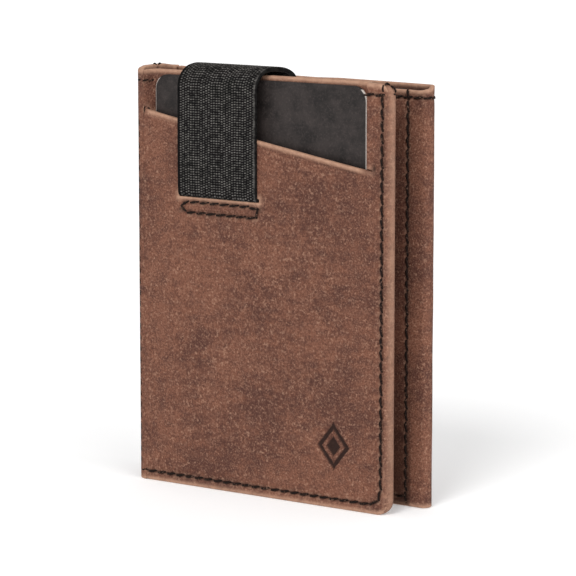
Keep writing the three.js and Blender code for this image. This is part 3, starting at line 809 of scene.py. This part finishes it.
def back_seams():
    """Paths of the seams beside the fold, along the spine, round the top and at the bottom."""
    wall_left, rear_left = WALL_LEFT + 0.5, COVER_LEFT + 0.4
    fold = [((WALL_SEAM_RIGHT, WALL_FACE, z), FRONT) for z in (0.7, BACK_TOP - 0.9)]
    rear_fold = [((WALL_SEAM_RIGHT, REAR_FACE, z), REAR) for z in (0.7, BACK_TOP - 0.7)]
    turn = fold_turn(FOLD_RADIUS + 0.25, 7)
    top = [((wall_left, WALL_FACE, WALL_SEAM_TOP), FRONT),
           ((FOLD_RIGHT - 2, WALL_FACE, WALL_SEAM_TOP), FRONT),
           *(((x, y, WALL_SEAM_TOP), (u, v, 0)) for x, y, u, v in turn),
           ((rear_left, REAR_FACE, WALL_SEAM_TOP), REAR)]
    wall_bottom = [((x, WALL_FACE, SEAM_BOTTOM), FRONT) for x in (wall_left, WALL_SEAM_RIGHT)]
    rear_bottom = [((x, REAR_FACE, SEAM_BOTTOM), REAR) for x in (WALL_SEAM_RIGHT, rear_left)]
    spine = [((COVER_LEFT + 1.1, REAR_FACE, z), REAR) for z in (4.0, BACK_TOP - 4.5)]
    return fold, rear_fold, spine, top, wall_bottom, rear_bottom


def back_hide():
    outer_plan, inner_plan = back_plan()
    outer, inner, faces = upright_hide(outer_plan, inner_plan, top_of_back)
    pull, holes, rubbed = tight_seam(outer, back_seams())
    normals = vertex_normals(outer, faces)
    joined = (np.abs(outer[:, 1] - REAR_FACE) < 0.01) & (outer[:, 0] < COVER_LEFT + 0.01)
    swell = 0.25 * window(outer[:, 0], 4, 16, 50, 62) * window(outer[:, 2], 3, 14, 76, 87)
    rear = (outer[:, 1] > REAR_FACE - 0.01) * swell
    lift = rear + unevenness(outer, 6.0, 4) - pull
    outer = outer + normals * np.where(joined, 0, lift)[:, None]
    points, faces, wear_and_highlight = thicken(outer, inner, faces, np.where(joined, 0.0, EDGE_ROUND * 0.8))
    spare = len(points) - len(outer)
    wear_and_highlight = np.maximum(wear_and_highlight, np.concatenate([rubbed, np.zeros(spare)]))
    # Painted shade: the inner faces of the back hide, inside the note pocket, are darkened away from
    # their cut edges.
    inside = 0.6 * (1 - wear_and_highlight[len(outer):])
    # Painted shade on the pocket wall's face in the gap behind the front half, beside its seam and
    # darker toward the bottom.
    beside = window(outer[:, 0], 52, 58, WALL_SEAM_RIGHT + 0.4, WALL_SEAM_RIGHT + 1.6)
    gap_shade = 0.6 * beside * smooth((34 - outer[:, 2]) / 30) * (outer[:, 1] < WALL_FACE + 0.5)
    dark = np.concatenate([np.maximum(holes, gap_shade), inside])
    link("back_half_hide", points, faces, COVER_LEATHER, "back_half",
         ["back_hide"], {"wear_and_highlight": wear_and_highlight, "pressed_and_shade": dark})


# ---- burnished edge
def edge_outline(shrink):
    """The outline of the front half from the spine along the bottom, right side and top."""
    low = min(shrink, 0.5)
    r = CORNER - shrink
    right, bottom, top = COVER_RIGHT - shrink, low, COVER_TOP - low
    points = [(x, bottom) for x in np.linspace(COVER_LEFT + 0.05, right - r, 41)]
    points += [(right - r + r * math.sin(a), bottom + r - r * math.cos(a))
               for a in np.linspace(0, math.pi / 2, 10)[1:]]
    points += [(right, z) for z in np.linspace(bottom + r, top - r, 58)[1:]]
    points += [(right - r + r * math.cos(a), top - r + r * math.sin(a))
               for a in np.linspace(0, math.pi / 2, 10)[1:]]
    return points + [(x, top) for x in (right - r - 0.6, right - r - 1.2)]


def burnished_edge():
    """The cut layers of the front half are rubbed round into one smooth pale edge."""
    front, back, reach = 0.12, EDGE_DEPTH, 1.35
    profile = [(reach + 0.15, front + 0.9)]
    for a in np.linspace(-math.pi / 2, math.pi / 2, 15):
        profile.append((reach * (1 - math.cos(a)) - 0.02,
                        (front + back) / 2 + (back - front) / 2 * math.sin(a)))
    profile.append((reach + 0.15, back - 0.9))
    rings = [edge_outline(shrink) for shrink, _ in profile]
    count, sides = len(rings[0]), len(profile)
    points = np.array([
        (rings[k][i][0], profile[k][1], rings[k][i][1]) for i in range(count) for k in range(sides)
    ])
    points += 0.03 * np.stack([wobble(points, 2.5, 8), 0 * points[:, 0], wobble(points, 2.5, 9)], 1)
    points[:, 2] = np.maximum(points[:, 2], 0.0)
    turn = np.tile(np.linspace(0, 1, sides), count)
    # Painted light round the edge: a pale band along its middle, partly the real pale of a burnished
    # edge and partly painted highlight, and painted shade on the side that faces the gap behind.
    wear_and_highlight = 0.52 * hump(turn - 0.45, 0.24) * (1 + 0.3 * wobble(points, 4.0, 10))
    link("front_burnished_edge", points, tube_faces(count, sides), COVER_LEATHER, "front_half",
         values={"wear_and_highlight": wear_and_highlight, "pressed_and_shade": 0.6 * smooth((turn - 0.6) / 0.3)})


# ---- inner sheets
def swelling_sheet(name, node, material, thickness, sewn_at, full_at, slant=0.0):
    """A sheet sewn to the cover, sewn_at deep at its seams and full_at deep behind the cards."""
    high = corners(node)[1]
    inset = min(EDGE_ROUND, thickness * 0.4)
    right = COVER_RIGHT - 0.75 - inset
    columns = steps(COVER_LEFT + inset, 0.3, 5.4, 1.2, 58.6, 0.3, right)
    rows = steps(inset, 0.25, 3.6, 1.2, 100.0)
    box = (-CORNER, inset, right, high.z + (CORNER if slant else 0) - inset)
    x = np.tile(columns, (len(rows), 1))
    top = high.z - inset - slant * (x - COVER_LEFT) / COVER_RIGHT
    share = (rows - rows[0]) / (rows[-1] - rows[0])
    z = rows[0] + (top - rows[0]) * share[:, None]
    side = window(x, SLIT_LEFT[0], CARD_LOW.x - 0.2, CARD_HIGH.x + 0.3, COVER_RIGHT - 2.4)
    swell = np.minimum(side, smooth((z - 0.5) / 2.2))
    y = sewn_at + (full_at - sewn_at) * swell
    x, z = round_corner(x, z, box, CORNER - inset)
    outer = np.stack([x, y, z], 2).reshape(-1, 3)
    inner = outer + np.array((0, thickness, 0))
    inner[:, 1] += 0.03 * wobble(inner, 6.0, 6)
    points, faces, wear_and_highlight = thicken(outer, inner, grid_faces(len(rows), len(columns)), inset)
    link(name, points, faces, material, "front_half", [node],
         {"wear_and_highlight": wear_and_highlight, "pressed_and_shade": np.zeros(len(points))})


def inner_sheets():
    """The pocket's lining, and two panels cut from the same hide as the cover."""
    swelling_sheet("front_pocket_lining_cloth", "front_pocket_lining", LINING,
                   thickness=0.3, sewn_at=1.34, full_at=4.22)
    swelling_sheet("inner_base_hide", "inner_base_panel", COVER_LEATHER,
                   thickness=0.78, sewn_at=1.66, full_at=4.6)
    swelling_sheet("inner_pocket_hide", "inner_pocket_panel", COVER_LEATHER,
                   thickness=0.72, sewn_at=2.47, full_at=9.28, slant=INNER_SLANT)


# ---- cards
def card(name, node, material, body):
    """A thin card with round corners and softened edges, its core showing at the rim."""
    low, high = corners(node)
    middle = ((low.x + high.x) / 2, (low.z + high.z) / 2)
    half = ((high.x - low.x) / 2, (high.z - low.z) / 2)

    def outline(shrink):
        r = CARD_CORNER - shrink
        ring = []
        for quarter, (sx, sz) in enumerate(((1, -1), (1, 1), (-1, 1), (-1, -1))):
            cx = middle[0] + sx * (half[0] - CARD_CORNER)
            cz = middle[1] + sz * (half[1] - CARD_CORNER)
            for k in range(CORNER_STEPS + 1):
                a = math.radians(-90 + quarter * 90 + k * 90 / CORNER_STEPS)
                ring.append((cx + r * math.cos(a), cz + r * math.sin(a)))
        return ring

    rounding = [(CARD_BEVEL * 2, 0.0, 0.0), (CARD_BEVEL, 0.02, 0.45), (0.0, CARD_BEVEL, 1.0)]
    sections = [(shrink, low.y + depth, on_rim) for shrink, depth, on_rim in rounding]
    sections += [(shrink, high.y - depth, on_rim) for shrink, depth, on_rim in rounding[::-1]]
    points, core = [], []
    for shrink, y, on_rim in sections:
        points += [(x, y, z) for x, z in outline(shrink)]
        core += [on_rim * (0.0 if z > high.z - 0.9 else 1.0) for _, z in outline(shrink)]
    count = 4 * (CORNER_STEPS + 1)
    faces = [
        (s * count + (k + 1) % count, s * count + k,
         (s + 1) * count + k, (s + 1) * count + (k + 1) % count)
        for s in range(len(sections) - 1)
        for k in range(count)
    ]
    faces.append(tuple(range(count)))
    faces.append(tuple(reversed(range(len(points) - count, len(points)))))
    piece = link(name, points, faces, material, body, [node], {"core": core})
    for face in piece.data.polygons:
        face.use_smooth = len(face.vertices) == 4


def cards():
    card("front_bank_card", "front_card", DARK_CARD, "front_card_body")
    for number in (1, 2):
        card(f"pulled_bank_card_{number}", f"pull_card_{number}", PALE_CARD,
             f"pull_card_{number}_body")


# ---- elastic band
def spline(points, spacing):
    """Evenly spaced points on a smooth curve through the given ones, and their lengths on it."""
    points = [np.array(p, float) for p in points]
    knots = [2 * points[0] - points[1], *points, 2 * points[-1] - points[-2]]
    fine = []
    for a, b, c, d in zip(knots, knots[1:], knots[2:], knots[3:]):
        for t in np.linspace(0, 1, 24, endpoint=False):
            fine.append(0.5 * (2 * b + (c - a) * t + (2 * a - 5 * b + 4 * c - d) * t**2
                               + (3 * b - a - 3 * c + d) * t**3))
    fine.append(points[-1])
    fine = np.array(fine)
    lengths, at = evenly(fine, spacing)
    return values_at(at, lengths, fine), at


def weave(across, along):
    """Height of the weave and how much light its crests catch, for an elastic webbing."""
    edge = np.minimum(across, BAND_WIDTH - across)
    inside = smooth((edge - 0.55) / 0.25)
    cell = across / WEAVE_COLUMN
    stagger = 0.27 * (np.floor(cell) % 2) + 0.12 * np.sin(2.4 * np.floor(cell))
    rib = 0.5 + 0.5 * np.cos(2 * math.pi * (along / WEAVE_ROW + stagger))
    bead = np.abs(np.sin(math.pi * cell)) ** 0.7
    selvedge = (1 - inside) * (0.5 + 0.5 * np.cos(2 * math.pi * (edge - 0.3) / 0.9))
    height = inside * rib * (0.45 + 0.55 * bead) * 0.14 + selvedge * 0.12
    shine = rib**2 * (0.06 + 0.94 * bead**3)
    bead_edge = hump(BAND_WIDTH - across - 0.42, 0.2) * (0.4 + 0.2 * rib)
    return height, inside * shine + (1 - inside) * (0.02 + bead_edge)


def ribbon(name, path, thickness, replaces, body=None, start_along=0.0, spacing=BAND_STEP,
           cross=0.15, skew=lambda y: 0 * y):
    """A length of the band along a path in y and z, woven on both faces.

    spacing and cross are the mesh's steps along and across the band, and skew says how far it
    has moved to the right at each depth. Without a body the piece is left unattached.
    """
    line, along = spline(path, spacing)
    tangent = np.gradient(line, axis=0)
    tangent /= np.linalg.norm(tangent, axis=1, keepdims=True)
    normal = np.stack([-tangent[:, 1], tangent[:, 0]], 1)
    inset = 0.3
    across = steps(inset, cross, BAND_WIDTH - inset)
    height, crest = weave(across[None, :], (along + start_along)[:, None])
    surfaces = []
    for side, bow in ((1, height), (-1, height * 0.6)):
        shift = side * (thickness / 2 - 0.08 + bow)
        y = line[:, 0][:, None] + normal[:, 0][:, None] * shift
        z = line[:, 1][:, None] + normal[:, 1][:, None] * shift
        x = BAND_LEFT + across[None, :] + skew(line[:, 0])[:, None] + 0 * y
        surfaces.append(np.stack([x, y, z], 2).reshape(-1, 3))
    points, faces, _ = thicken(*surfaces, grid_faces(len(line), len(across)), inset, 5)
    spare = len(points) - 2 * crest.size
    shine = np.concatenate([crest.ravel(), crest.ravel(), np.full(spare, 0.05)])
    return link(name, points, faces, WEBBING, body, replaces, {"crest": shine})


def band_front():
    """From its sewn end behind the cover, out of the slit and up in front of the card."""
    path = [(1.66, BAND_SLIT - 5.0), (1.62, BAND_SLIT - 2.2), (1.45, BAND_SLIT - 0.9),
            (0.75, BAND_SLIT - 0.25), (-0.2, BAND_SLIT + 0.15), (BAND_MIDDLE, BAND_SLIT + 1.0),
            (BAND_MIDDLE - 0.1, BAND_SLIT + 5), (BAND_MIDDLE - 0.12, BAND_SLIT + 12),
            (BAND_MIDDLE, ARCH_FOOT)]
    length = spline(path, BAND_STEP)[1][-1]
    piece = ribbon("band_front_webbing", path, 0.95, ["band_front_run", "band_anchor"],
                   start_along=-length)
    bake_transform(piece)


def band_rest():
    """Over the top, down between the two halves and forward under the pulled cards."""
    rear = (REAR_RUN_LOW.y + REAR_RUN_HIGH.y) / 2
    arch = [(BAND_MIDDLE, ARCH_FOOT), (BAND_MIDDLE + 0.02, COVER_TOP - 2.9),
            (-0.35, COVER_TOP - 1.6), (0.3, COVER_TOP - 0.3), (1.4, COVER_TOP + 0.75),
            (2.9, COVER_TOP + 1.25), (4.6, COVER_TOP + 1.25), (6.3, COVER_TOP + 0.95),
            (7.6, COVER_TOP + 0.3), (8.5, COVER_TOP - 0.7), (rear, COVER_TOP - 2.2),
            (rear, ARCH_FOOT)]
    ribbon("band_arch_webbing", arch, 0.98, ["band_arch"], "pull_band",
           skew=lambda y: ARCH_SKEW * np.clip((y + 0.5) / (rear + 0.4), 0, 1))
    low, high = corners("band_cradle")
    under = low.z + 0.55
    down = [(rear, ARCH_FOOT), (rear, 60), (rear, 30), (rear, high.z), (rear - 0.12, high.z - 0.9),
            (rear - 0.7, under + 0.02), (rear - 1.4, under), (low.y + 0.3, under)]
    ribbon("band_rear_webbing", down, 0.95, ["band_rear_run", "band_cradle"], "pull_band",
           spacing=0.4, cross=0.34, skew=lambda y: ARCH_SKEW + 0 * y)


# ---- seams as pieces
def all_seams():
    edge, top, top_left = front_seams()

    over_top = [((SEAM_RIGHT, -0.05, SEAM_TOP + 0.5), FRONT),
                ((SEAM_RIGHT, -0.05, COVER_TOP - 0.4), (0, -1, 0.3)),
                ((SEAM_RIGHT + 0.05, 0.5, COVER_TOP + 0.04), (0, -0.3, 1)),
                ((SEAM_RIGHT + 0.15, 2.0, COVER_TOP + 0.06), (0, 0, 1)),
                ((SEAM_RIGHT + 1.1, 2.5, COVER_TOP - 0.5), (0.6, 0, 1)),
                ((COVER_RIGHT - 0.02, 2.6, COVER_TOP - 1.9), (1, 0, 0.4))]
    seam("front_edge_stitches", [on_cover(edge), on_cover(top), over_top], "front_half",
         ["front_edge_seam"], fill=0.9, radius=0.27)
    seam("front_corner_stitches", [on_cover(top_left)], "front_half", pitch=1.5, fill=0.95)
    spine = seam("spine_side_stitches", [bend_seam()], None, ["spine_side_seam"],
                 radius=0.17, proud=0.0)
    blend_bend(spine)
    pocket_top = corners("inner_pocket_panel")[1].z - INNER_SLANT * SEAM_RIGHT / COVER_RIGHT - 1.2
    inner = [[((SEAM_RIGHT, 3.24, z), REAR) for z in (4.6, pocket_top)],
             [((SEAM_RIGHT, 2.49, z), REAR) for z in (pocket_top + 2.5, SEAM_TOP)]]
    seam("inner_edge_stitches", inner, "front_half")
    spine_top = [((0.15, 5.6, COVER_TOP + 0.62), (-0.2, 0, 1)),
                 ((0.75, 8.4, COVER_TOP + 0.56), (0.1, 0, 1))]
    seam("spine_top_stitches", [spine_top], "spine", pitch=1.5, fill=0.9)
    seam("box_stitches", [box_stitch_path()], "front_half", ["box_stitch"],
         pitch=2.6, fill=1.04, radius=0.25)
    *upright, top_run, wall_bottom, rear_bottom = back_seams()
    seam("fold_stitches", upright, "back_half", ["fold_seam"], fill=0.94, radius=0.27)
    seam("back_top_stitches", [top_run], "back_half", ["back_top_seam"], fill=0.92, radius=0.26)
    seam("back_bottom_stitches", [wall_bottom, rear_bottom], "back_half", ["back_bottom_seam"])


def kept_nodes():
    """CAD nodes whose shape is right get a real material."""
    for node, material in (
        ("spine_lining", LINING),
        ("note_pocket_lining", LINING),
        ("note_pocket_bottom_strip", INNER_LEATHER),
        ("note_pocket_spine_strip", INNER_LEATHER),
        ("folded_notes", PAPER),
    ):
        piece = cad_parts[node]
        piece.data.materials.clear()
        piece.data.materials.append(material)


# ---- studio
def camera():
    data = bpy.data.cameras.new("camera")
    data.lens = 183.5
    data.sensor_width = 36
    data.clip_end = 10
    azimuth, elevation, distance = math.radians(34), math.radians(9.31), 0.64165
    aim = Vector(row_point(27.16, 18.32, 42.55))
    away = Vector((math.sin(azimuth) * math.cos(elevation),
                   -math.cos(azimuth) * math.cos(elevation), math.sin(elevation)))
    piece = into_scene("camera", data)
    piece.location = aim + away * distance
    piece.rotation_euler = away.to_track_quat("Z", "Y").to_euler()
    bpy.context.scene.camera = piece


def sun(name, toward, strength, softness):
    data = bpy.data.lights.new(name, "SUN")
    data.energy = strength
    data.angle = math.radians(softness)
    piece = into_scene(name, data)
    piece.rotation_euler = Vector(toward).to_track_quat("Z", "Y").to_euler()


def bright_horizon(world):
    """A pale dome: white at the horizon, dimmer overhead, so that the light has a direction."""
    nodes, links = world.node_tree.nodes, world.node_tree.links
    place = nodes.new("ShaderNodeTexCoord")
    split = nodes.new("ShaderNodeSeparateXYZ")
    height = nodes.new("ShaderNodeMapRange")
    links.new(place.outputs["Generated"], split.inputs["Vector"])
    links.new(split.outputs["Z"], height.inputs["Value"])
    for key, number in (("From Min", 0.12), ("From Max", 0.4), ("To Min", 1.06), ("To Max", 0.5)):
        height.inputs[key].default_value = number
    background = nodes["Background"]
    background.inputs["Color"].default_value = (1, 1, 1, 1)
    links.new(height.outputs["Result"], background.inputs["Strength"])


def studio():
    scene = bpy.context.scene
    scene.view_settings.view_transform = "Standard"
    scene.world = bpy.data.worlds.new("studio")
    scene.world.use_nodes = True
    bright_horizon(scene.world)
    sun("key", (0.12, -0.8, 0.75), 1.5, 24)
    sun("fill", (0.9, -0.3, 0.55), 1.2, 50)
    floor_mesh = bpy.data.meshes.new("floor")
    half = 6.0
    floor_mesh.from_pydata([(-half, -half, 0), (half, -half, 0), (half, half, 0), (-half, half, 0)],
                           [], [(0, 1, 2, 3)])
    s = Shader("pale_floor")
    s.set(Base_Color=(0.9, 0.9, 0.9), Roughness=0.9)
    s.set(Emission_Color=(1, 1, 1), Emission_Strength=0.17)
    floor_mesh.materials.append(s.material)
    into_scene("floor", floor_mesh)


front_cover()
spine_bends()
back_hide()
burnished_edge()
inner_sheets()
cards()
band_front()
band_rest()
all_seams()
kept_nodes()
camera()
studio()
